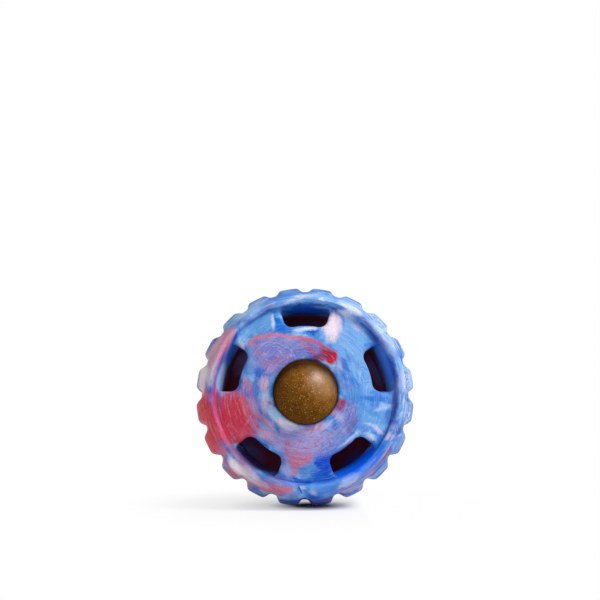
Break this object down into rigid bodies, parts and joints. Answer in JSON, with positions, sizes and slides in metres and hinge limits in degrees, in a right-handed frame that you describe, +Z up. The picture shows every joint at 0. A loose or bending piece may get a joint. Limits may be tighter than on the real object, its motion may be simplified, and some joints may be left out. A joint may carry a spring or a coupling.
{
  "type": "treat dispensing ball",
  "caption": "Hollow rubber ball of two bonded half shells with a lugged tread, slotted domed faces and a round pocket that grips a ball-shaped treat.",
  "frame": {"origin": "centre of the ball, on its axis and in the plane of the seam between the half shells", "axes": "+Y along the ball's axis, away from the face that holds the treat; +Z up, with the ball standing on its tread; +X to the right as seen from the front"},
  "size_m": [0.0886, 0.0631, 0.0886],
  "materials": {
    "front_rubber": "satin, marbled in blue, red, pink and off-white",
    "rear_rubber": "satin, marbled in blue, red, pink and off-white",
    "treat": "dry baked surface with fine pits and a soft sheen"
  },
  "bodies": {
    "ball": {"front_tread": "front_rubber", "front_face": "front_rubber", "front_hub": "front_rubber", "rear_tread": "rear_rubber", "rear_face": "rear_rubber", "rear_hub": "rear_rubber"},
    "treat": {"treat": "treat"}
  },
  "joints": [
    {"name": "treat_slide", "type": "slide", "parent": "ball", "child": "treat", "axis": [0, -1, 0], "range_m": [0, 0.04]}
  ]
}
